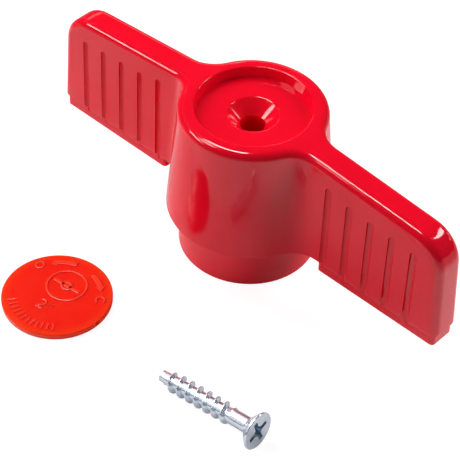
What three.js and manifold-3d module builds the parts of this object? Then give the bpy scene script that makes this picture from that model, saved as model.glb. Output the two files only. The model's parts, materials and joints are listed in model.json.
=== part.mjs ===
// Handle kit of a 2-inch seacock ball valve: a moulded two-wing handle, the snap-in cap that covers
// its screw, and the countersunk thread-forming screw that holds the handle to the valve stem.
// The three loose pieces lie on a bench: the handle stands on its hub skirt, the cap lies flat and
// the screw rests on its head and thread. Millimetres, +Z up, +X along the wings; the origin is the
// centre of the kit's footprint on the bench.
import * as THREE from 'three';
import { mergeGeometries, mergeVertices } from 'three/addons/utils/BufferGeometryUtils.js';
import Module from 'manifold-3d';

const wasm = await Module();
wasm.setup();

// Hub: a cone that widens downwards from a rounded rim, on a narrower skirt that meets the bench.
const HEIGHT = 49.3;
const RIM_RADIUS = 20.8;
const RIM_ROUND = 2.5;
const FOOT_RADIUS = 23.5;
const FOOT_HEIGHT = 13.8;
const FOOT_ROUND = 0.6;
const SKIRT_RADIUS = 19.8;
const SKIRT_ROUND = 0.5;

// Cap seat, countersink and screw hole, from the top down.
const SEAT_RADIUS = 16.2;
const SEAT_FLOOR_RADIUS = 15.8;
const SEAT_DEPTH = 3;
const SEAT_EDGE = 0.5;
const SINK_RADIUS = 7.2;
const HOLE_RADIUS = 3.55;
const SINK_DEPTH = SINK_RADIUS - HOLE_RADIUS;
const SINK_EDGE = 0.35;

// Wings: flat, slightly drafted blades whose top edge falls towards the tip.
const TIP_X = 70.8;
const TIP_DRAFT = THREE.MathUtils.degToRad(3);
const TIP_ROUND = 10;
const TOP_SLOPE = THREE.MathUtils.degToRad(4.6);
const TOP_AT_AXIS = 50.55;
const WING_HALF_TOP = 4.62;
const WING_HALF_FOOT = 4.9;
const WING_ROUND = 2.3;
const WEB_FILLET = 8;
const BLEND_START = 17;
const BLEND_END = 26;

// Lip under each wing, set in from its sides.
const LIP_HEIGHT = 3.6;
const LIP_INSET = 0.8;
const LIP_START = 29.2;
const LIP_CORNER = 1.2;

// Grip grooves on both faces of both wings.
const GROOVES = 5;
const GROOVE_FIRST_X = 31.5;
const GROOVE_PITCH = 7.3;
const GROOVE_RADIUS = 1.2;
const GROOVE_DEPTH = 1;
const GROOVE_TOP_FIRST = 42.2;
const GROOVE_TOP_REST = 41.1;
const GROOVE_TOP_FALL = 0.53;

// Cored underside: wall thicknesses, the stem boss with its square socket, ribs and wing pockets.
const WALL = 2.3;
const CEILING = 42.4;
const HOLLOW_DRAFT = 1.2;
const BOSS_RADIUS = 9.8;
const BOSS_FOOT = 8;
const SOCKET_SIDE = 11;
const SOCKET_TOP = 35;
const SOCKET_CORNER = 0.8;
const HUB_RIBS = 6;
const RIB = 2;
const POCKETS = 3;
const POCKET_START = 28.5;
const POCKET_HALF = 2.4;
const POCKET_RIB = 1.8;
const POCKET_DRAFT = 0.6;

// Cap.
const CAP_RADIUS = 15.4;
const CAP_THICKNESS = 1.7;
const CAP_EDGE = 0.25;
const CAP_PLACE = new THREE.Vector2(-20.5, -55.4);
const CAP_TURN = THREE.MathUtils.degToRad(6.5);
const NICK_RADIUS = 0.9;
const NICK_OFFSET = 0.45;
const NICK_ANGLE = THREE.MathUtils.degToRad(-4);

// Screw: 5.5 x 32 mm countersunk, cross recess, one right-hand thread start.
const SCREW_LENGTH = 32.65;
const HEAD_RADIUS = 5.3;
const HEAD_BAND = 0.5;
const HEAD_DEPTH = 3.4;
const HEAD_EDGE = 0.15;
const SHANK_RADIUS = 2.2;
const CORE_RADIUS = 1.85;
const TIP_RADIUS = 1.6;
const TIP_TAPER = 5;
const CREST_RADIUS = 2.86;
const THREAD_PITCH = 2.965;
const CREST_FLAT = 0.15;
const THREAD_FOOT = 0.8;
const THREAD_START = 1;
const THREAD_FULL = 4.5;
const THREAD_FADE = 23;
const THREAD_END = 24.6;
const CORE_RUN = 3;
const THREAD_PHASE = THREE.MathUtils.degToRad(-81);
const RECESS_SPAN = 7.1;
const RECESS_FLOOR = 2;
const RECESS_WIDTH = 1.35;
const RECESS_DEPTH = 2.6;
const ROOT_RADIUS = 1.55;
const ROOT_FLOOR = 0.7;
const ROOT_DEPTH = 3.1;
const RECESS_TURN = THREE.MathUtils.degToRad(15.5);
const SCREW_PLACE = new THREE.Vector2(54.1, -54.6);
const SCREW_HEADING = THREE.MathUtils.degToRad(183.3);

// Smoothness of the curved surfaces, and how far a cutting or joined solid runs past its neighbour.
const HUB_SEGMENTS = 80;
const HOLLOW_SEGMENTS = 48;
const CAP_SEGMENTS = 96;
const HEAD_SEGMENTS = 48;
const ROOT_SEGMENTS = 24;
const TURN_STEPS = 28;
const HUB_STATIONS = 20;
const FILLET_STATIONS = 6;
const SEAT_STATIONS = 3;
const ARC_STATIONS = 8;
const ROUND_STEPS = 5;
const FACE_ROWS = 3;
const FOOT_STEPS = 2;
const BOOLEAN_MARGIN = 1;

// ---------------------------------------------------------------- solids and booleans

function toSolid(geometry) {
  const bare = geometry.index ? geometry.toNonIndexed() : geometry.clone();
  for (const name of Object.keys(bare.attributes)) {
    if (name !== 'position') bare.deleteAttribute(name);
  }
  const merged = mergeVertices(bare, 1e-4);
  const corners = Array.from(merged.index.array);
  const triVerts = [];
  for (let i = 0; i < corners.length; i += 3) {
    const [a, b, c] = corners.slice(i, i + 3);
    if (a !== b && b !== c && a !== c) triVerts.push(a, b, c);
  }
  return new wasm.Manifold(new wasm.Mesh({
    numProp: 3,
    vertProperties: merged.attributes.position.array,
    triVerts: new Uint32Array(triVerts),
  }));
}

function toGeometry(solid) {
  const mesh = solid.getMesh();
  const geometry = new THREE.BufferGeometry();
  const positions = new Float32Array(mesh.vertProperties);
  geometry.setAttribute('position', new THREE.BufferAttribute(positions, 3));
  geometry.setIndex(new THREE.BufferAttribute(new Uint32Array(mesh.triVerts), 1));
  geometry.computeVertexNormals();
  return geometry;
}

// A solid of revolution about Z from [radius, height] points listed upwards, from axis to axis.
function turned(profile, segments = HUB_SEGMENTS) {
  const points = profile.map(([radius, height]) => new THREE.Vector2(radius, height));
  return toSolid(new THREE.LatheGeometry(points, segments).rotateX(Math.PI / 2));
}

// A shape drawn in plan (X right, Y away) raised from one height to another.
function raised(shape, low, high, curveSegments = 6) {
  const settings = { depth: high - low, bevelEnabled: false, curveSegments };
  return toSolid(new THREE.ExtrudeGeometry(shape, settings).translate(0, 0, low));
}

// A shape drawn in side view (X right, Z up) with thickness 2 * half across Y.
function crossways(shape, half) {
  const settings = { depth: 2 * half, bevelEnabled: false };
  return toSolid(new THREE.ExtrudeGeometry(shape, settings).rotateX(Math.PI / 2).translate(0, half, 0));
}

// A rounded rectangle in plan.
function roundedPlan(x0, x1, y0, y1, corner) {
  const shape = new THREE.Shape();
  shape.moveTo(x0 + corner, y0);
  shape.lineTo(x1 - corner, y0);
  shape.absarc(x1 - corner, y0 + corner, corner, -Math.PI / 2, 0);
  shape.lineTo(x1, y1 - corner);
  shape.absarc(x1 - corner, y1 - corner, corner, 0, Math.PI / 2);
  shape.lineTo(x0 + corner, y1);
  shape.absarc(x0 + corner, y1 - corner, corner, Math.PI / 2, Math.PI);
  shape.lineTo(x0, y0 + corner);
  shape.absarc(x0 + corner, y0 + corner, corner, Math.PI, 1.5 * Math.PI);
  return shape;
}

// Points round a quarter or part circle, as [radius, height] pairs for a turned profile.
function profileArc(radius, height, round, from, to, steps = 4) {
  return Array.from({ length: steps + 1 }, (_, i) => {
    const angle = from + (to - from) * i / steps;
    return [radius + round * Math.cos(angle), height + round * Math.sin(angle)];
  });
}

// ---------------------------------------------------------------- handle body

function hubRadius(z) {
  return THREE.MathUtils.mapLinear(z, FOOT_HEIGHT, HEIGHT - RIM_ROUND, FOOT_RADIUS, RIM_RADIUS);
}

function wingHalf(z) {
  return THREE.MathUtils.mapLinear(z, FOOT_HEIGHT, HEIGHT, WING_HALF_FOOT, WING_HALF_TOP);
}

function slopeTop(x) {
  return TOP_AT_AXIS - Math.tan(TOP_SLOPE) * x;
}

function tipX(z) {
  return TIP_X - (z - FOOT_HEIGHT) * Math.tan(TIP_DRAFT);
}

// Height of the top surface: flat over the hub, then an S-bend down to the sloping wing.
function topHeight(x) {
  if (x <= BLEND_START) return HEIGHT;
  if (x >= BLEND_END) return slopeTop(x);
  const share = THREE.MathUtils.smoothstep(x, BLEND_START, BLEND_END);
  return THREE.MathUtils.lerp(HEIGHT, slopeTop(x), share);
}

// Centre of the round corner between the sloping top and the drafted tip.
function tipCentre() {
  const topReach = TOP_AT_AXIS * Math.cos(TOP_SLOPE) - TIP_ROUND;
  const tipReach = TIP_X * Math.cos(TIP_DRAFT) + FOOT_HEIGHT * Math.sin(TIP_DRAFT) - TIP_ROUND;
  const span = Math.cos(TOP_SLOPE + TIP_DRAFT);
  const x = (tipReach * Math.cos(TOP_SLOPE) - topReach * Math.sin(TIP_DRAFT)) / span;
  const z = (topReach * Math.cos(TIP_DRAFT) - tipReach * Math.sin(TOP_SLOPE)) / span;
  return new THREE.Vector2(x, z);
}

const TIP_CENTRE = tipCentre();

// Plan outline of hub and web fillet at one height: a point and the direction into the material.
function planPoint(z, station) {
  const radius = hubRadius(z);
  const half = wingHalf(z);
  const meet = Math.asin((half + WEB_FILLET) / (radius + WEB_FILLET));
  if (station <= HUB_STATIONS) {
    const angle = -Math.PI / 2 + (Math.PI / 2 - meet) * station / HUB_STATIONS;
    const out = new THREE.Vector3(Math.cos(angle), Math.sin(angle), 0);
    return { point: out.clone().multiplyScalar(radius), inward: out.negate() };
  }
  const centre = new THREE.Vector3((radius + WEB_FILLET) * Math.cos(meet), -(half + WEB_FILLET), 0);
  const share = (station - HUB_STATIONS) / FILLET_STATIONS;
  const angle = THREE.MathUtils.lerp(Math.PI - meet, Math.PI / 2, share);
  const inward = new THREE.Vector3(Math.cos(angle), Math.sin(angle), 0);
  return { point: centre.addScaledVector(inward, WEB_FILLET), inward };
}

// One station of the edge rounding: the centre of the rounding, the way in from the face, the way
// out through the top, and the foot of the column of face below it.
function edgeStations() {
  const stations = [];
  const foot = FOOT_HEIGHT + FOOT_ROUND;
  const last = HUB_STATIONS + FILLET_STATIONS;
  for (let i = 0; i <= last; i++) {
    const share = Math.max(0, i - HUB_STATIONS) / FILLET_STATIONS;
    const round = THREE.MathUtils.lerp(RIM_ROUND, WING_ROUND, share);
    const rim = planPoint(HEIGHT - round, i);
    const base = planPoint(foot, i);
    const height = topHeight(rim.point.x) - round;
    const centre = rim.point.clone().addScaledVector(rim.inward, round).setZ(height);
    const lean = Math.atan(base.point.distanceTo(rim.point) / (height - foot));
    const out = new THREE.Vector3(0, 0, 1);
    stations.push({ centre, inward: rim.inward, out, round, lean, foot: base.point.setZ(foot) });
  }
  const inward = new THREE.Vector3(0, 1, 0);
  const tipFoot = tipX(foot) - WING_ROUND;
  const arcStart = TIP_CENTRE.x + TIP_ROUND * Math.sin(TOP_SLOPE);
  for (let i = 0; i <= ARC_STATIONS; i++) {
    const angle = THREE.MathUtils.lerp(Math.PI / 2 - TOP_SLOPE, TIP_DRAFT, i / ARC_STATIONS);
    const out = new THREE.Vector3(Math.cos(angle), 0, Math.sin(angle));
    const centre = new THREE.Vector3(TIP_CENTRE.x, 0, TIP_CENTRE.y);
    centre.addScaledVector(out, TIP_ROUND - WING_ROUND).setY(WING_ROUND - wingHalf(centre.z));
    const x = THREE.MathUtils.lerp(arcStart, tipFoot, i / ARC_STATIONS);
    const base = new THREE.Vector3(x, -wingHalf(foot), foot);
    stations.push({ centre, inward, out, round: WING_ROUND, lean: 0, foot: base });
  }
  const corner = stations.at(-1);
  for (let i = FACE_ROWS - 1; i >= 0; i--) {
    const z = THREE.MathUtils.lerp(foot, corner.centre.z, i / FACE_ROWS);
    const x = THREE.MathUtils.lerp(tipFoot, corner.centre.x, i / FACE_ROWS);
    const centre = new THREE.Vector3(x, WING_ROUND - wingHalf(z), z);
    stations.push({ centre, inward, out: new THREE.Vector3(1, 0, 0), round: WING_ROUND, lean: 0 });
  }
  return stations;
}

// A point of the edge rounding: step 0 leaves the face, the last step meets the top.
function edgePoint(station, step) {
  const angle = THREE.MathUtils.lerp(station.lean, Math.PI / 2, step / ROUND_STEPS);
  return station.centre.clone()
    .addScaledVector(station.inward, -station.round * Math.cos(angle))
    .addScaledVector(station.out, station.round * Math.sin(angle));
}

// A grid of quads as triangles; rows[i][j] runs so that the surface faces out of the material.
function gridGeometry(rows) {
  const positions = [];
  for (let i = 0; i + 1 < rows.length; i++) {
    for (let j = 0; j + 1 < rows[i].length; j++) {
      const [a, b, c, d] = [rows[i][j], rows[i + 1][j], rows[i + 1][j + 1], rows[i][j + 1]];
      for (const p of [a, b, c, a, c, d]) positions.push(p.x, p.y, p.z);
    }
  }
  const geometry = new THREE.BufferGeometry();
  geometry.setAttribute('position', new THREE.Float32BufferAttribute(positions, 3));
  return geometry;
}

// A copy mirrored across X and Y as the signs say, with its faces still facing out.
function mirrored(geometry, x, y) {
  const copy = geometry.clone().scale(x, y, 1);
  if (x * y > 0) return copy;
  const p = copy.attributes.position.array;
  for (let i = 0; i < p.length; i += 9) {
    for (let k = 0; k < 3; k++) [p[i + 3 + k], p[i + 6 + k]] = [p[i + 6 + k], p[i + 3 + k]];
  }
  return copy;
}

// Hub, webs and wings above the foot line as one drafted body with rounded upper edges. One quarter
// is laid out (front, +X) and mirrored.
function upperBody() {
  const stations = edgeStations();
  const columns = stations.slice(0, stations.length - FACE_ROWS);
  const face = columns.map((s) => {
    const top = edgePoint(s, 0);
    return Array.from({ length: FACE_ROWS + 1 }, (_, i) => s.foot.clone().lerp(top, i / FACE_ROWS));
  });
  face.at(-1).forEach((p, i) => {
    p.copy(edgePoint(stations[stations.length - 1 - i], 0));
  });
  const steps = Array.from({ length: ROUND_STEPS + 1 }, (_, i) => i);
  const edge = stations.map((s) => steps.map((i) => edgePoint(s, i)));
  const top = edge.map((row) => [row.at(-1), row.at(-1).clone().setY(0)]);
  const rim = face.map((column, i) => ({ point: column[0], inward: columns[i].inward }));
  steps.slice(1).forEach((i) => {
    const angle = Math.PI / 2 * i / ROUND_STEPS;
    const inward = new THREE.Vector3(-Math.sin(angle), Math.cos(angle), 0);
    rim.push({ point: edge.at(-1)[i], inward });
  });
  rim.push({ point: top.at(-1)[1], inward: new THREE.Vector3(-1, 0, 0) });
  const foot = rim.map(({ point, inward }) => Array.from({ length: FOOT_STEPS + 1 }, (_, i) => {
    const angle = Math.PI / 2 * i / FOOT_STEPS;
    const inset = FOOT_ROUND * (1 - Math.cos(angle));
    return point.clone().addScaledVector(inward, inset).setZ(point.z - FOOT_ROUND * Math.sin(angle));
  }).reverse());
  const under = foot.slice(0, -1).map((row) => [row[0].clone().setY(0), row[0]]);
  const quarter = mergeGeometries([face, edge, top, foot, under].map(gridGeometry));
  const quarters = [[1, 1], [-1, 1], [1, -1], [-1, -1]].map(([x, y]) => mirrored(quarter, x, y));
  return toSolid(mergeGeometries(quarters));
}

// The narrower ring under the hub that meets the valve.
function skirt() {
  return turned([
    [0, 0],
    ...profileArc(SKIRT_RADIUS - SKIRT_ROUND, SKIRT_ROUND, SKIRT_ROUND, -Math.PI / 2, 0),
    [SKIRT_RADIUS, FOOT_HEIGHT + BOOLEAN_MARGIN],
    [0, FOOT_HEIGHT + BOOLEAN_MARGIN],
  ]);
}

function lip() {
  const half = WING_HALF_FOOT - LIP_INSET;
  const shape = roundedPlan(LIP_START, TIP_X - LIP_INSET, -half, half, LIP_CORNER);
  return raised(shape, FOOT_HEIGHT - LIP_HEIGHT, FOOT_HEIGHT + BOOLEAN_MARGIN);
}

// Room for the cap, the screw head and the screw.
function seatCut() {
  const floor = HEIGHT - SEAT_DEPTH;
  const rim = [];
  for (let i = 0; i <= SEAT_STATIONS; i++) {
    const angle = i * Math.PI / 2 / SEAT_STATIONS;
    const fall = SEAT_EDGE * (1 - Math.sin(angle));
    rim.push([SEAT_RADIUS + SEAT_EDGE * (1 - Math.cos(angle)), HEIGHT - fall]);
  }
  return turned([
    [0, SOCKET_TOP - BOOLEAN_MARGIN],
    [HOLE_RADIUS, SOCKET_TOP - BOOLEAN_MARGIN],
    [HOLE_RADIUS, floor - SINK_DEPTH],
    [SINK_RADIUS - SINK_EDGE * Math.SQRT1_2, floor - SINK_EDGE * Math.SQRT1_2],
    [SINK_RADIUS + SINK_EDGE, floor],
    [SEAT_FLOOR_RADIUS, floor],
    ...rim,
    [SEAT_RADIUS + SEAT_EDGE, HEIGHT + BOOLEAN_MARGIN],
    [0, HEIGHT + BOOLEAN_MARGIN],
  ]);
}

// One round-ended groove per pitch on each face of each wing, leaning with the face.
function grooveCuts() {
  const cuts = [];
  for (let i = 0; i < GROOVES; i++) {
    const x = GROOVE_FIRST_X + i * GROOVE_PITCH;
    const top = i === 0 ? GROOVE_TOP_FIRST : GROOVE_TOP_REST - i * GROOVE_TOP_FALL;
    const low = FOOT_HEIGHT - BOOLEAN_MARGIN;
    const length = top - low - GROOVE_RADIUS;
    const y = wingHalf((top + low) / 2) + GROOVE_RADIUS - GROOVE_DEPTH;
    for (const [sx, sy] of [[1, 1], [1, -1], [-1, 1], [-1, -1]]) {
      const capsule = new THREE.CapsuleGeometry(GROOVE_RADIUS, length, 4, 16).rotateX(Math.PI / 2);
      const lean = Math.atan((WING_HALF_FOOT - WING_HALF_TOP) / (HEIGHT - FOOT_HEIGHT));
      capsule.rotateX(sy * lean).translate(sx * x, sy * y, low + length / 2);
      cuts.push(toSolid(capsule));
    }
  }
  return cuts;
}

// The hollow between the stem boss and the hub's outer wall, less the ribs that tie them together.
function hubHollow() {
  const hollow = turned([
    [0, -BOOLEAN_MARGIN],
    [SKIRT_RADIUS - WALL, -BOOLEAN_MARGIN],
    [SKIRT_RADIUS - WALL, FOOT_HEIGHT],
    [RIM_RADIUS - WALL - HOLLOW_DRAFT, CEILING],
    [0, CEILING],
  ], HOLLOW_SEGMENTS);
  let kept = turned([
    [0, BOSS_FOOT],
    [BOSS_RADIUS, BOSS_FOOT],
    [BOSS_RADIUS, HEIGHT],
    [0, HEIGHT],
  ], HOLLOW_SEGMENTS);
  for (let i = 0; i < HUB_RIBS; i++) {
    const low = BOSS_FOOT + WALL;
    const rib = new THREE.BoxGeometry(FOOT_RADIUS, RIB, HEIGHT - low);
    rib.translate(FOOT_RADIUS / 2, 0, (HEIGHT + low) / 2).rotateZ((i + 0.5) * 2 * Math.PI / HUB_RIBS);
    kept = kept.add(toSolid(rib));
  }
  return hollow.subtract(kept);
}

// Square socket for the valve stem, open at the foot of the boss.
function socketCut() {
  const half = SOCKET_SIDE / 2;
  const plan = roundedPlan(-half, half, -half, half, SOCKET_CORNER);
  return raised(plan, BOSS_FOOT - BOOLEAN_MARGIN, SOCKET_TOP, 3);
}

// Drafted pockets that core each wing from below.
function pocketCuts() {
  const span = (TIP_X - LIP_INSET - WALL - POCKET_START - (POCKETS - 1) * POCKET_RIB) / POCKETS;
  const low = FOOT_HEIGHT - LIP_HEIGHT - BOOLEAN_MARGIN;
  const cuts = [];
  for (let i = 0; i < POCKETS; i++) {
    const x0 = POCKET_START + WALL + i * (span + POCKET_RIB) - (i === 0 ? 0 : WALL);
    const x1 = POCKET_START + (i + 1) * span + i * POCKET_RIB;
    const reach = Math.min(x1, TIP_CENTRE.x);
    const shape = new THREE.Shape();
    shape.moveTo(x0, low);
    shape.lineTo(x1, low);
    shape.lineTo(x1 - POCKET_DRAFT, reach < x1 ? TIP_CENTRE.y : slopeTop(x1) - 2 * WALL);
    if (reach < x1) shape.lineTo(reach, slopeTop(reach) - 2 * WALL);
    shape.lineTo(x0 + POCKET_DRAFT, slopeTop(x0) - 2 * WALL);
    const pocket = crossways(shape, POCKET_HALF);
    cuts.push(pocket, pocket.mirror([1, 0, 0]));
  }
  return cuts;
}

function handleGeometry() {
  const wingLip = lip();
  let body = upperBody().add(skirt()).add(wingLip).add(wingLip.mirror([1, 0, 0]));
  for (const cut of [hubHollow(), socketCut(), seatCut(), ...grooveCuts(), ...pocketCuts()]) {
    body = body.subtract(cut);
  }
  return toGeometry(body);
}

// ---------------------------------------------------------------- cap

function capGeometry() {
  const disc = turned([
    [0, 0],
    [CAP_RADIUS - CAP_EDGE, 0],
    [CAP_RADIUS, CAP_EDGE],
    [CAP_RADIUS, CAP_THICKNESS - CAP_EDGE],
    [CAP_RADIUS - CAP_EDGE, CAP_THICKNESS],
    [0, CAP_THICKNESS],
  ], CAP_SEGMENTS);
  const nick = new THREE.CylinderGeometry(NICK_RADIUS, NICK_RADIUS, CAP_THICKNESS, 12);
  nick.rotateX(Math.PI / 2).translate(CAP_RADIUS + NICK_OFFSET, 0, CAP_THICKNESS).rotateZ(NICK_ANGLE);
  return toGeometry(disc.subtract(toSolid(nick)));
}

// ---------------------------------------------------------------- screw

// Height of the thread over the core at a distance from the crest line, as a share of the full height.
function threadSection(offset) {
  return THREE.MathUtils.clamp((THREAD_FOOT - Math.abs(offset)) / (THREAD_FOOT - CREST_FLAT), 0, 1);
}

// Radius of the core: a blunt tip that widens to the core, then the run up to the plain shank.
function shaftRadius(z) {
  const tip = THREE.MathUtils.smoothstep(z, 0, TIP_TAPER);
  const run = THREE.MathUtils.smoothstep(z, THREAD_END - CORE_RUN, THREAD_END);
  const core = THREE.MathUtils.lerp(TIP_RADIUS, CORE_RADIUS, tip);
  return THREE.MathUtils.lerp(core, SHANK_RADIUS, run);
}

// The threaded shaft as rows of points that follow the helix, so that the crest stays a clean line.
function threadedShaft() {
  const offsets = [-THREAD_FOOT, -CREST_FLAT, CREST_FLAT, THREAD_FOOT];
  const neck = SCREW_LENGTH - HEAD_DEPTH;
  const turns = Math.ceil(neck / THREAD_PITCH) + 1;
  const rows = [];
  for (let turn = -1; turn <= turns; turn++) {
    for (const offset of offsets) {
      const row = [];
      for (let i = 0; i <= TURN_STEPS; i++) {
        const z = (turn + i / TURN_STEPS) * THREAD_PITCH + offset;
        const height = THREE.MathUtils.clamp(z, 0, neck);
        const grow = THREE.MathUtils.smoothstep(z, THREAD_START, THREAD_FULL);
        const fade = 1 - THREE.MathUtils.smoothstep(z, THREAD_FADE, THREAD_END);
        const core = shaftRadius(height);
        const radius = core + (CREST_RADIUS - core) * threadSection(offset) * grow * fade;
        const angle = 2 * Math.PI * i / TURN_STEPS + THREAD_PHASE;
        row.push(new THREE.Vector3(radius * Math.cos(angle), radius * Math.sin(angle), height));
      }
      rows.push(row);
    }
  }
  return closedTube(rows);
}

// A tube from rows of points, where the last point of a row meets the first point of a later row,
// closed with flat ends on the axis.
function closedTube(rows) {
  const low = rows[0][0].z;
  const high = rows.at(-1)[0].z;
  const bottom = rows[0].map((p) => new THREE.Vector3(0, 0, low));
  const top = rows.at(-1).map((p) => new THREE.Vector3(0, 0, high));
  const skin = gridGeometry([bottom, ...rows, top].map((row) => row.slice().reverse()));
  return toSolid(skin);
}

function screwHead() {
  const under = SCREW_LENGTH - HEAD_DEPTH;
  return turned([
    [0, under - BOOLEAN_MARGIN],
    [SHANK_RADIUS, under - BOOLEAN_MARGIN],
    [SHANK_RADIUS, under],
    [HEAD_RADIUS, SCREW_LENGTH - HEAD_BAND],
    [HEAD_RADIUS, SCREW_LENGTH - HEAD_EDGE],
    [HEAD_RADIUS - HEAD_EDGE, SCREW_LENGTH],
    [0, SCREW_LENGTH],
  ], HEAD_SEGMENTS);
}

// Cross recess: two tapered blades that narrow towards the bottom, and the cone where they meet.
function crossRecess() {
  const shape = new THREE.Shape();
  shape.moveTo(-RECESS_SPAN / 2, SCREW_LENGTH + BOOLEAN_MARGIN);
  shape.lineTo(-RECESS_SPAN / 2, SCREW_LENGTH);
  shape.lineTo(-RECESS_FLOOR / 2, SCREW_LENGTH - RECESS_DEPTH);
  shape.lineTo(RECESS_FLOOR / 2, SCREW_LENGTH - RECESS_DEPTH);
  shape.lineTo(RECESS_SPAN / 2, SCREW_LENGTH);
  shape.lineTo(RECESS_SPAN / 2, SCREW_LENGTH + BOOLEAN_MARGIN);
  const blade = crossways(shape, RECESS_WIDTH / 2);
  const root = turned([
    [0, SCREW_LENGTH - ROOT_DEPTH],
    [ROOT_FLOOR, SCREW_LENGTH - ROOT_DEPTH],
    [ROOT_RADIUS, SCREW_LENGTH],
    [ROOT_RADIUS, SCREW_LENGTH + BOOLEAN_MARGIN],
    [0, SCREW_LENGTH + BOOLEAN_MARGIN],
  ], ROOT_SEGMENTS);
  return blade.add(blade.rotate([0, 0, 90])).add(root);
}

function screwGeometry() {
  const recess = crossRecess().rotate([0, 0, THREE.MathUtils.radToDeg(RECESS_TURN)]);
  return toGeometry(threadedShaft().add(screwHead()).subtract(recess));
}

// Lays the screw on the bench: the head's edge and the thread's crests touch it.
function layScrew(mesh) {
  const bearing = SCREW_LENGTH - HEAD_BAND - THREAD_FULL;
  const tilt = Math.asin((HEAD_RADIUS - CREST_RADIUS) / bearing);
  mesh.rotation.set(0, tilt - Math.PI / 2, 0);
  const turn = new THREE.Group();
  turn.add(mesh);
  turn.rotation.z = SCREW_HEADING;
  const headEdge = new THREE.Vector3(-HEAD_RADIUS, 0, SCREW_LENGTH - HEAD_BAND);
  mesh.position.z = -headEdge.applyEuler(mesh.rotation).z;
  const tip = new THREE.Vector2(SCREW_LENGTH, 0).rotateAround(new THREE.Vector2(), SCREW_HEADING);
  turn.position.set(SCREW_PLACE.x + tip.x, SCREW_PLACE.y + tip.y, 0);
  return turn;
}

// ---------------------------------------------------------------- kit on the bench

function piece(name, geometry, material) {
  const mesh = new THREE.Mesh(geometry, new THREE.MeshStandardMaterial(material));
  mesh.name = name;
  return mesh;
}

const group = new THREE.Group();
group.position.y = -(FOOT_RADIUS + CAP_PLACE.y - CAP_RADIUS) / 2;

group.add(piece('handle', handleGeometry(), { color: 0xd9202b, roughness: 0.28, metalness: 0 }));

const cap = piece('cap', capGeometry(), { color: 0xf23a1e, roughness: 0.3, metalness: 0 });
cap.position.set(CAP_PLACE.x, CAP_PLACE.y, 0);
cap.rotation.z = CAP_TURN;
group.add(cap);

group.add(layScrew(piece('screw', screwGeometry(), { color: 0xc4cad4, roughness: 0.3, metalness: 1 })));

export default group;
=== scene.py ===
"""Handle kit of a 2-inch seacock ball valve, laid out on a white ground under studio light."""
import json
import math

import bpy
from mathutils import Matrix, Vector


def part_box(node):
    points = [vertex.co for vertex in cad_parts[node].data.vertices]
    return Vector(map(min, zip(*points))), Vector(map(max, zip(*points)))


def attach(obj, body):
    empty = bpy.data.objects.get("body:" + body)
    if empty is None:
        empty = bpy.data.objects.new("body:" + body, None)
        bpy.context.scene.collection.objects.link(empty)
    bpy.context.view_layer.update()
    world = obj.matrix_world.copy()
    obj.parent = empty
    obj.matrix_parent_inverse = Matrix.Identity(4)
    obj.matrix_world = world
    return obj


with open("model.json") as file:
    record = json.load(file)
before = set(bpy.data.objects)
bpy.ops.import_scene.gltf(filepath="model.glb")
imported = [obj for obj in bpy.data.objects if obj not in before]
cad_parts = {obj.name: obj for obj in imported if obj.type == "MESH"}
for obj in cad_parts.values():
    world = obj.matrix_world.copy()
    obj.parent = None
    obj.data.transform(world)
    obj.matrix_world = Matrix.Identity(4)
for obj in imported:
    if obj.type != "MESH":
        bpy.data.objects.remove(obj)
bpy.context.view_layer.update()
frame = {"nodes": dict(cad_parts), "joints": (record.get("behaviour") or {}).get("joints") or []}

MM = 0.001
WHITE = (1.0, 1.0, 1.0, 1.0)


def colour(red, green, blue):
    """An opaque colour, in linear light."""
    return (red, green, blue, 1.0)


def joint_place(name):
    joint = next(j for j in frame["joints"] if j["name"] == name)
    return Vector(joint["pos_m"])


HUB_AXIS = joint_place("handle_turn")
CAP_LOW, CAP_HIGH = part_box("cap")
CAP_CENTRE = Vector(((CAP_LOW.x + CAP_HIGH.x) / 2, (CAP_LOW.y + CAP_HIGH.y) / 2, CAP_HIGH.z))
CAP_TURN = math.radians(6.5)


# ---------------------------------------------------------------- node helpers

class Nodes:
    """A node material that is built up by adding shader nodes with their inputs."""

    def __init__(self, name):
        self.material = bpy.data.materials.new(name)
        self.material.use_nodes = True
        self.tree = self.material.node_tree
        self.tree.nodes.clear()

    def add(self, kind, inputs=None, **settings):
        node = self.tree.nodes.new(kind)
        for key, value in settings.items():
            setattr(node, key, value)
        for key, value in (inputs or {}).items():
            if isinstance(value, bpy.types.NodeSocket):
                self.tree.links.new(value, node.inputs[key])
            else:
                node.inputs[key].default_value = value
        return node

    def position(self):
        return self.add("ShaderNodeTexCoord").outputs["Object"]

    def noise(self, vector, scale, detail=2.0, roughness=0.5):
        inputs = {"Vector": vector, "Scale": scale, "Detail": detail, "Roughness": roughness}
        return self.add("ShaderNodeTexNoise", inputs).outputs["Fac"]

    def ramp(self, value, low, high, to_low, to_high):
        inputs = {0: value, 1: low, 2: high, 3: to_low, 4: to_high}
        return self.add("ShaderNodeMapRange", inputs).outputs[0]

    def mix(self, factor, a, b):
        node = self.add("ShaderNodeMix", {0: factor, 6: a, 7: b}, data_type="RGBA")
        return node.outputs[2]

    def grey(self, value):
        return self.add("ShaderNodeCombineColor", {0: value, 1: value, 2: value}).outputs[0]

    def math(self, operation, a, b=0.0):
        return self.add("ShaderNodeMath", {0: a, 1: b}, operation=operation).outputs[0]

    def bump(self, height, distance, strength):
        inputs = {"Height": height, "Distance": distance, "Strength": strength}
        return self.add("ShaderNodeBump", inputs).outputs["Normal"]

    def finish(self, shader):
        self.add("ShaderNodeOutputMaterial", {"Surface": shader})
        return self.material


def assign(obj, material):
    obj.data.materials.clear()
    obj.data.materials.append(material)


# ---------------------------------------------------------------- materials

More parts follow.
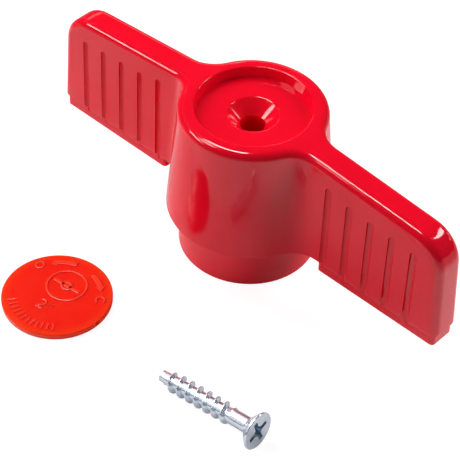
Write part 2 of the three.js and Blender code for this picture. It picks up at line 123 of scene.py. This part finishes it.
RED = colour(0.82, 0.002, 0.019)
RED_DEEP = colour(0.76, 0.001, 0.015)
ORANGE = colour(0.99, 0.013, 0.005)
# Painted glow: the cap's rim turns to this lighter orange.
ORANGE_PAINTED_GLOW = colour(1.0, 0.045, 0.006)
# Painted highlight: the raised marks are a lighter orange than the cap, for the light their edges catch.
RAISED_PAINTED_HIGHLIGHT = colour(1.0, 0.045, 0.02)
ZINC_DULL = colour(0.70, 0.77, 0.88)
ZINC_BRIGHT = colour(0.78, 0.83, 0.91)
# Painted shade: hemmed-in zinc turns to this darker blue.
ZINC_PAINTED_SHADE = colour(0.20, 0.48, 0.68)

# Noise scales are in cells per metre; a span is the part of a noise's range that counts.
RED_CLOUD, RED_SMEAR, RED_PEEL = 60.0, 900.0, 420.0
ORANGE_CLOUD, ORANGE_SMEAR, ORANGE_PEEL = 130.0, 1100.0, 500.0
ORANGE_CLOUD_MOST = 0.25
ZINC_PATCH, ZINC_GRAIN = 500.0, 1500.0
GROUND_CLOUD = 3.0
CLOUD_SPAN = (0.35, 0.7)
GLOSS_SPAN = (0.3, 0.7)
SMEAR_DETAIL, SMEAR_ROUGHNESS = 4.0, 0.6

# Depths and reaches are in metres; soak is how far light enters the plastic.
PLASTIC_IOR = 1.5
RED_GLOSS = (0.05, 0.09)
RED_SOAK = 0.06
RED_SOAK_REACH = (0.004, 0.0006, 0.0006)
ORANGE_GLOSS = (0.12, 0.2)
ORANGE_SOAK = 0.3
ORANGE_SOAK_REACH = (0.004, 0.001, 0.0005)
# The painted glow on the cap runs from the inner radius to the outer one.
PAINTED_GLOW_INNER = 0.0125
PAINTED_GLOW_OUTER = 0.0156
PEEL_DEPTH = 0.00003
PEEL_STRENGTH = 0.6
ZINC_GLOSS = (0.16, 0.24)
ZINC_METALLIC = 0.8
# The painted shade looks this far round for anything that hems the zinc in.
PAINTED_SHADE_REACH = 0.0016
PAINTED_SHADE_SPAN = (0.35, 0.85)
GRAIN_DEPTH = 0.00002
GRAIN_STRENGTH = 0.25


def red_plastic():
    """Glossy moulded nylon: cloudy tint, faint orange peel, fine handling marks in the gloss."""
    n = Nodes("red_plastic")
    place = n.position()
    cloud = n.noise(place, RED_CLOUD, 3.0)
    tint = n.mix(n.ramp(cloud, *CLOUD_SPAN, 0.0, 1.0), RED, RED_DEEP)
    smear = n.noise(place, RED_SMEAR, SMEAR_DETAIL, SMEAR_ROUGHNESS)
    gloss = n.ramp(smear, *GLOSS_SPAN, *RED_GLOSS)
    peel = n.bump(n.noise(place, RED_PEEL, 1.0), PEEL_DEPTH, PEEL_STRENGTH)
    inputs = {"Base Color": tint, "Roughness": gloss, "IOR": PLASTIC_IOR, "Normal": peel}
    inputs["Subsurface Weight"] = RED_SOAK
    inputs["Subsurface Radius"] = RED_SOAK_REACH
    inputs["Subsurface Scale"] = 1.0
    return n.finish(n.add("ShaderNodeBsdfPrincipled", inputs).outputs[0])


def orange_plastic(name, colour_face, colour_painted_glow, soak):
    """The cap's thin plastic: light soaks through it, and a painted glow makes its rim more orange."""
    n = Nodes(name)
    place = n.position()
    offset = n.add("ShaderNodeVectorMath", {0: place, 1: CAP_CENTRE}, operation="SUBTRACT").outputs[0]
    radius = n.add("ShaderNodeVectorMath", {0: offset}, operation="LENGTH").outputs["Value"]
    # Painted glow: towards the rim the colour turns a lighter orange.
    painted_glow = n.ramp(radius, PAINTED_GLOW_INNER, PAINTED_GLOW_OUTER, 0.0, 1.0)
    cloud = n.ramp(n.noise(place, ORANGE_CLOUD, 3.0), *CLOUD_SPAN, 0.0, ORANGE_CLOUD_MOST)
    tint = n.mix(n.math("MAXIMUM", painted_glow, cloud), colour_face, colour_painted_glow)
    smear = n.noise(place, ORANGE_SMEAR, SMEAR_DETAIL, SMEAR_ROUGHNESS)
    gloss = n.ramp(smear, *GLOSS_SPAN, *ORANGE_GLOSS)
    peel = n.bump(n.noise(place, ORANGE_PEEL, 1.0), PEEL_DEPTH, PEEL_STRENGTH)
    inputs = {"Base Color": tint, "Roughness": gloss, "IOR": PLASTIC_IOR, "Normal": peel}
    inputs["Subsurface Weight"] = soak
    inputs["Subsurface Radius"] = ORANGE_SOAK_REACH
    inputs["Subsurface Scale"] = 1.0
    return n.finish(n.add("ShaderNodeBsdfPrincipled", inputs).outputs[0])


def zinc():
    """Bright bluish zinc plating: uneven gloss, a faint grain, and painted shade, darker and bluer, down
    in the recess.
    """
    n = Nodes("zinc")
    place = n.position()
    patches = n.noise(place, ZINC_PATCH, 3.0)
    plate = n.mix(patches, ZINC_DULL, ZINC_BRIGHT)
    # Painted shade: where the zinc is hemmed in, an occlusion test turns it darker and bluer.
    openness = n.add("ShaderNodeAmbientOcclusion", {"Distance": PAINTED_SHADE_REACH}, samples=8).outputs["AO"]
    tint = n.mix(n.ramp(openness, *PAINTED_SHADE_SPAN, 0.0, 1.0), ZINC_PAINTED_SHADE, plate)
    gloss = n.ramp(patches, *GLOSS_SPAN, *ZINC_GLOSS)
    grain = n.bump(n.noise(place, ZINC_GRAIN, 2.0), GRAIN_DEPTH, GRAIN_STRENGTH)
    inputs = {"Base Color": tint, "Metallic": ZINC_METALLIC, "Roughness": gloss, "Normal": grain}
    return n.finish(n.add("ShaderNodeBsdfPrincipled", inputs).outputs[0])


# ---------------------------------------------------------------- ground material

# To the camera the ground is nearly white, with faint shadows.
SEEN_DULL = colour(0.24, 0.24, 0.24)
SEEN_PALE = colour(0.26, 0.26, 0.26)
SEEN_SHINE = 0.9
ALBEDO_NEAR, ALBEDO_FAR = 0.8, 0.08
NEAR_ENDS, FAR_STARTS = 0.13, 0.19
MIRRORED_PART = 0.72
# Painted light: in reflections only, the ground glows faintly all over, and more towards the right and
# the front.
GLOW = 0.06
GLOW_RIGHT = 0.45
RIGHT_STARTS, RIGHT_FULL = 0.045, 0.085
GLOW_FRONT = 0.3
FRONT_STARTS, FRONT_FULL = -0.036, -0.046


def ground_seen(n):
    """The ground as the camera sees it."""
    cloud = n.noise(n.position(), GROUND_CLOUD, 2.0)
    diffuse = n.add("ShaderNodeBsdfDiffuse", {"Color": n.mix(cloud, SEEN_DULL, SEEN_PALE)}).outputs[0]
    shine = n.add("ShaderNodeEmission", {"Color": WHITE, "Strength": SEEN_SHINE}).outputs[0]
    return n.add("ShaderNodeAddShader", {0: diffuse, 1: shine}).outputs[0]


def ground_mirrored(n, is_glossy):
    reach = n.add("ShaderNodeVectorMath", {0: n.position()}, operation="LENGTH").outputs["Value"]
    albedo = n.ramp(reach, NEAR_ENDS, FAR_STARTS, ALBEDO_NEAR, ALBEDO_FAR)
    part = n.ramp(is_glossy, 0.0, 1.0, 1.0, MIRRORED_PART)
    shade = n.grey(n.math("MULTIPLY", albedo, part))
    diffuse = n.add("ShaderNodeBsdfDiffuse", {"Color": shade}).outputs[0]
    place = n.add("ShaderNodeSeparateXYZ", {0: n.position()}).outputs
    # Painted light: a glow seen only in reflections, stronger to the right and the front.
    glow_right = n.ramp(place["X"], RIGHT_STARTS, RIGHT_FULL, GLOW, GLOW_RIGHT)
    glow_front = n.ramp(place["Y"], FRONT_FULL, FRONT_STARTS, GLOW_FRONT, GLOW)
    strength = n.math("MULTIPLY", n.math("MAXIMUM", glow_right, glow_front), is_glossy)
    glow = n.add("ShaderNodeEmission", {"Color": WHITE, "Strength": strength}).outputs[0]
    return n.add("ShaderNodeAddShader", {0: diffuse, 1: glow}).outputs[0]


def ground():
    n = Nodes("ground")
    path = n.add("ShaderNodeLightPath").outputs
    shaders = {0: path["Is Camera Ray"], 1: ground_mirrored(n, path["Is Glossy Ray"]), 2: ground_seen(n)}
    return n.finish(n.add("ShaderNodeMixShader", shaders).outputs[0])


# ---------------------------------------------------------------- smooth shading

# Creases are in degrees: a sharper edge stays a crease.
MERGE_DISTANCE = 2e-6
PLASTIC_CREASE = 32
METAL_CREASE = 38
MARK_CREASE = 50


def smoothing_group(angle):
    """Joins a mesh's facets and shades them smooth, apart from edges sharper than angle."""
    group = bpy.data.node_groups.new("smooth_by_angle_%d" % angle, "GeometryNodeTree")
    group.interface.new_socket("Geometry", in_out="INPUT", socket_type="NodeSocketGeometry")
    group.interface.new_socket("Geometry", in_out="OUTPUT", socket_type="NodeSocketGeometry")
    nodes, link = group.nodes, group.links.new
    start = nodes.new("NodeGroupInput")
    merge = nodes.new("GeometryNodeMergeByDistance")
    merge.inputs["Distance"].default_value = MERGE_DISTANCE
    drop = nodes.new("GeometryNodeRemoveAttribute")
    drop.inputs["Name"].default_value = "custom_normal"
    faces = nodes.new("GeometryNodeSetShadeSmooth")
    faces.domain = "FACE"
    edges = nodes.new("GeometryNodeSetShadeSmooth")
    edges.domain = "EDGE"
    edges.inputs["Shade Smooth"].default_value = False
    bend = nodes.new("GeometryNodeInputMeshEdgeAngle")
    sharper = nodes.new("FunctionNodeCompare")
    sharper.operation = "GREATER_THAN"
    sharper.inputs[1].default_value = math.radians(angle)
    end = nodes.new("NodeGroupOutput")
    link(start.outputs[0], merge.inputs["Geometry"])
    link(merge.outputs[0], drop.inputs["Geometry"])
    link(drop.outputs[0], faces.inputs["Geometry"])
    link(faces.outputs[0], edges.inputs["Geometry"])
    link(bend.outputs["Unsigned Angle"], sharper.inputs[0])
    link(sharper.outputs[0], edges.inputs["Selection"])
    link(edges.outputs[0], end.inputs[0])
    return group


def smooth(obj, angle):
    """Smooth shading by modifiers, with larger faces weighing more at shared corners."""
    obj.modifiers.new("smooth", "NODES").node_group = smoothing_group(angle)
    weighted = obj.modifiers.new("weighted", "WEIGHTED_NORMAL")
    weighted.keep_sharp = True
    weighted.weight = 50


# ---------------------------------------------------------------- marks moulded on the cap

# Millimetres on the cap's face, from its centre, and degrees round it from its +X.
MARK_HEIGHT = 0.2
MARK_SINK = 0.15
MARK_EDGE = 0.14
LEAST_SHOULDER = 0.02
LETTER_RADIUS = 1.2
LETTER_WIDTH = 0.62
LETTER_O_RADIUS, LETTER_O_ANGLE, LETTER_O_SQUEEZE = 12.4, 152.5, 0.92
LETTER_C_RADIUS, LETTER_C_ANGLE = 12.2, 27.5
LETTER_C_START, LETTER_C_END = -18, 253
LETTER_C_STEPS = 15
ARROW_WIDTH = 1.5
ARROW_TIP_WIDTH = 0.15
ARROW_STEPS = 8
OPEN_ARROW = {"radius": 12.4, "tail": 103.5, "tip": 136.8, "barb": 131.0, "barb_half": 1.1}
CLOSE_ARROW = {"radius": 12.2, "tail": 75.0, "tip": 43.3, "barb": 51.0, "barb_half": 1.5}
SMALL_RING_SEGMENTS = 20
LARGE_RING_SEGMENTS = 72
EMBLEM_CENTRE = (0.0, 4.2)
EMBLEM_RADIUS, EMBLEM_WIDTH = 5.6, 0.7
EMBLEM_BAR_HALF, EMBLEM_BAR_WIDTH = 4.4, 1.1
EMBLEM_HUB_RADIUS, EMBLEM_HUB_WIDTH = 1.3, 1.0
DIGIT_WIDTH = 0.6
DIGIT_BOW_CENTRE, DIGIT_BOW_RADIUS = (-1.1, -4.6), 0.95
DIGIT_FOOT = ((-1.9, -6.6), (-1.7, -6.65), (0.0, -6.65))
DIGIT_BOW_START, DIGIT_BOW_END = 160, -35
DIGIT_BOW_STEPS = 10
INCH_MARKS = (1.0, 1.9)
INCH_TOP, INCH_FOOT = (-3.5, 0.5), (-4.7, 0.4)
BARS = 12
BARS_START = -137.0
BARS_END = -51.0
BAR_OUTER, BAR_INNER, BAR_WIDTH = 13.4, 11.1, 0.62


def polar(radius, degrees):
    return Vector((radius * math.cos(math.radians(degrees)), radius * math.sin(math.radians(degrees))))


def arc(radius, start, end, width, steps, centre=(0.0, 0.0), squeeze=1.0):
    """Points and widths along an arc, in millimetres on the cap's face."""
    points = []
    for i in range(steps + 1):
        p = polar(radius, start + (end - start) * i / steps)
        points.append((centre[0] + p.x * squeeze, centre[1] + p.y, width))
    return points


def ridge(path, closed=False):
    """A raised bar with rounded shoulders along a path of (x, y, width)."""
    points = [Vector(p[:2]) for p in path]
    count = len(points)
    rows = []
    for i, here in enumerate(points):
        before = points[(i - 1) % count] if closed or i else here
        after = points[(i + 1) % count] if closed or i < count - 1 else here
        along = (after - before).normalized()
        side = Vector((-along.y, along.x))
        half = path[i][2] / 2
        shoulder = max(half - MARK_EDGE, LEAST_SHOULDER)
        section = [(-half, -MARK_SINK), (-half, MARK_HEIGHT - MARK_EDGE), (-shoulder, MARK_HEIGHT)]
        section += [(-across, up) for across, up in reversed(section)]
        rows.append([(*(here + side * across), up) for across, up in section])
    return rows


def strips_to_mesh(strips):
    """One mesh from ridges, each a list of rows of points; open ridges get end faces."""
    points, faces = [], []
    for rows, closed in strips:
        base = len(points)
        wide = len(rows[0])
        points += [p for row in rows for p in row]
        for i in range(len(rows) if closed else len(rows) - 1):
            here, after = base + i * wide, base + (i + 1) % len(rows) * wide
            for j in range(wide):
                k = (j + 1) % wide
                faces.append((here + j, here + k, after + k, after + j))
        if not closed:
            faces.append(tuple(base + j for j in reversed(range(wide))))
            faces.append(tuple(base + (len(rows) - 1) * wide + j for j in range(wide)))
    return points, faces


def arrow(radius, tail, tip, barb, barb_half):
    """A curved arrow from tail to tip, in degrees round the cap, widening to barbs at barb."""
    path = arc(radius, tail, barb, ARROW_WIDTH, ARROW_STEPS)
    head = tip - barb
    path.append((*polar(radius, barb + head * 0.02), 2 * barb_half))
    path.append((*polar(radius, barb + head * 0.5), barb_half))
    path.append((*polar(radius, tip), ARROW_TIP_WIDTH))
    return path


def cap_marks():
    """Letters O and C, their two arrows, the size in inches, a plain emblem and bars by the rim."""
    strips = []

    def add(path, closed=False):
        strips.append((ridge(path, closed), closed))

    def add_ring(radius, width, segments, centre, squeeze=1.0):
        last = 360 * (segments - 1) / segments
        add(arc(radius, 0, last, width, segments - 1, centre, squeeze), True)

    letter_o = polar(LETTER_O_RADIUS, LETTER_O_ANGLE)
    add_ring(LETTER_RADIUS, LETTER_WIDTH, SMALL_RING_SEGMENTS, letter_o, LETTER_O_SQUEEZE)
    letter_c = polar(LETTER_C_RADIUS, LETTER_C_ANGLE)
    add(arc(LETTER_RADIUS, LETTER_C_START, LETTER_C_END, LETTER_WIDTH, LETTER_C_STEPS, letter_c))
    add(arrow(**OPEN_ARROW))
    add(arrow(**CLOSE_ARROW))
    add_ring(EMBLEM_RADIUS, EMBLEM_WIDTH, LARGE_RING_SEGMENTS, EMBLEM_CENTRE)
    add([(x, EMBLEM_CENTRE[1], EMBLEM_BAR_WIDTH) for x in (-EMBLEM_BAR_HALF, EMBLEM_BAR_HALF)])
    add_ring(EMBLEM_HUB_RADIUS, EMBLEM_HUB_WIDTH, SMALL_RING_SEGMENTS, EMBLEM_CENTRE)
    bow = (DIGIT_BOW_START, DIGIT_BOW_END, DIGIT_WIDTH, DIGIT_BOW_STEPS, DIGIT_BOW_CENTRE)
    two = arc(DIGIT_BOW_RADIUS, *bow)
    add(two + [(*point, DIGIT_WIDTH) for point in DIGIT_FOOT])
    for x in INCH_MARKS:
        add([(x, *INCH_TOP), (x, *INCH_FOOT)])
    for i in range(BARS):
        middle = BARS_START + (BARS_END - BARS_START) * (i + 0.5) / BARS
        add([(*polar(radius, middle), BAR_WIDTH) for radius in (BAR_OUTER, BAR_INNER)])
    points, faces = strips_to_mesh(strips)
    place = Matrix.Translation(CAP_CENTRE) @ Matrix.Rotation(CAP_TURN, 4, "Z") @ Matrix.Scale(MM, 4)
    mesh = bpy.data.meshes.new("cap_marks")
    mesh.from_pydata([place @ Vector(p) for p in points], [], faces)
    mesh.validate()
    mesh.update()
    marks = bpy.data.objects.new("cap_marks", mesh)
    bpy.context.scene.collection.objects.link(marks)
    smooth(marks, MARK_CREASE)
    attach(marks, "cap")
    return marks


# ---------------------------------------------------------------- studio

WORLD_GREY = colour(0.06, 0.06, 0.062)
FLOOR_HALF = 3.0
FLOOR_DROP = 0.0002
FILL_DISTANCE = 0.8
HIGHLIGHT_DISTANCE = 0.6
TENT_DISTANCE = 0.6

# Each lamp: its name, azimuth and elevation in degrees, size in metres and power in watts.
# The fills give the body colours, and aren't mirrored.
FILLS = (
    ("fill_left", 180, 43, 0.50, 6.4),
    ("fill_front", -120, 25, 0.30, 2.6),
    ("fill_back", 80, 34, 0.30, 3.4),
    ("fill_right", 25, 25, 0.30, 1.9),
)
# The highlights are only mirrored.
HIGHLIGHTS = (
    ("overhead", 180, 74, (0.075, 0.26), 1.7),
    ("front_left", -140, 34, (0.22, 0.11), 0.8),
    ("back_right", 60, 46, (0.14, 0.08), 0.5),
    ("back_low", 139, 22, (0.40, 0.10), 0.12),
    ("back_streak", 134, 34, (0.03, 0.03), 0.03),
    ("right_low", 48, 22, (0.10, 0.06), 0.12),
    ("cone_left", 65, 21, (0.06, 0.08), 0.12),
    ("rim_front", -135, 56, (0.20, 0.14), 0.7),
)
# The tent gives the screw alone something bright to mirror.
TENT = (
    ("tent_top", 180, 60, (0.56, 0.30), 0.54),
    ("tent_front", -128, 28, (0.50, 0.36), 0.36),
    ("tent_back", 131, 42, (0.44, 0.20), 0.16),
)


def area_light(name, azimuth, elevation, distance, size, power):
    """A rectangular lamp aimed at the hub from an azimuth (counted from +X) and an elevation."""
    turn, rise = math.radians(azimuth), math.radians(elevation)
    way = Vector((math.cos(turn) * math.cos(rise), math.sin(turn) * math.cos(rise), math.sin(rise)))
    light = bpy.data.lights.new(name, "AREA")
    light.shape = "RECTANGLE"
    light.size, light.size_y = size
    light.energy = power
    obj = bpy.data.objects.new(name, light)
    obj.location = HUB_AXIS + way * distance
    obj.rotation_mode = "QUATERNION"
    obj.rotation_quaternion = way.to_track_quat("Z", "Y")
    bpy.context.scene.collection.objects.link(obj)
    return obj


def studio(shiny):
    """The ground, a dim even surround and the lamps; the tent lights only the shiny object."""
    mesh = bpy.data.meshes.new("floor")
    signs = ((-1, -1), (1, -1), (1, 1), (-1, 1))
    corners = [(FLOOR_HALF * x, FLOOR_HALF * y, 0) for x, y in signs]
    mesh.from_pydata(corners, [], [(0, 1, 2, 3)])
    floor = bpy.data.objects.new("floor", mesh)
    floor.location.z = -FLOOR_DROP
    bpy.context.scene.collection.objects.link(floor)
    assign(floor, ground())
    world = bpy.data.worlds.new("studio")
    world.use_nodes = True
    world.node_tree.nodes["Background"].inputs[0].default_value = WORLD_GREY
    bpy.context.scene.world = world
    for name, azimuth, elevation, size, power in FILLS:
        lamp = area_light(name, azimuth, elevation, FILL_DISTANCE, (size, size), power)
        lamp.visible_glossy = False
    for name, azimuth, elevation, size, power in HIGHLIGHTS:
        lamp = area_light(name, azimuth, elevation, HIGHLIGHT_DISTANCE, size, power)
        lamp.visible_diffuse = False
    metal = bpy.data.collections.new("metal")
    metal.objects.link(shiny)
    for name, azimuth, elevation, size, power in TENT:
        lamp = area_light(name, azimuth, elevation, TENT_DISTANCE, size, power)
        lamp.light_linking.receiver_collection = metal
    bpy.context.scene.view_settings.view_transform = "Standard"


CAMERA_AZIMUTH = math.radians(41.164)
CAMERA_ELEVATION = math.radians(43.40)
CAMERA_ROLL = math.radians(2.502)
CAMERA_DISTANCE = 0.5322
CAMERA_LENS = 149.0
CAMERA_SENSOR = 36.0
CAMERA_SHIFT = (-0.02263, -0.08598)
CAMERA_TARGET = Vector((-0.00049, -0.00336, 0.0196))


def camera():
    """The photographer's view: the target is counted from the hub's axis on the ground."""
    turn, rise, roll = CAMERA_AZIMUTH, CAMERA_ELEVATION, CAMERA_ROLL
    back = Vector((math.sin(turn) * math.cos(rise), -math.cos(turn) * math.cos(rise), math.sin(rise)))
    level = Vector((math.cos(turn), math.sin(turn), 0.0))
    upright = back.cross(level)
    right = level * math.cos(roll) + upright * math.sin(roll)
    up = upright * math.cos(roll) - level * math.sin(roll)
    data = bpy.data.cameras.new("camera")
    data.lens = CAMERA_LENS
    data.sensor_width = CAMERA_SENSOR
    data.shift_x, data.shift_y = CAMERA_SHIFT
    obj = bpy.data.objects.new("camera", data)
    place = HUB_AXIS + CAMERA_TARGET + back * CAMERA_DISTANCE
    obj.matrix_world = Matrix.Translation(place) @ Matrix((right, up, back)).transposed().to_4x4()
    bpy.context.scene.collection.objects.link(obj)
    bpy.context.scene.camera = obj


handle = frame["nodes"]["handle"]
cap = frame["nodes"]["cap"]
screw = frame["nodes"]["screw"]
assign(handle, red_plastic())
smooth(handle, PLASTIC_CREASE)
assign(cap, orange_plastic("orange_plastic", ORANGE, ORANGE_PAINTED_GLOW, ORANGE_SOAK))
smooth(cap, PLASTIC_CREASE)
# Painted highlight: the raised marks get the lighter orange.
assign(cap_marks(), orange_plastic("orange_raised_painted_highlight", RAISED_PAINTED_HIGHLIGHT, RAISED_PAINTED_HIGHLIGHT, 0.0))
assign(screw, zinc())
smooth(screw, METAL_CREASE)
studio(screw)
camera()
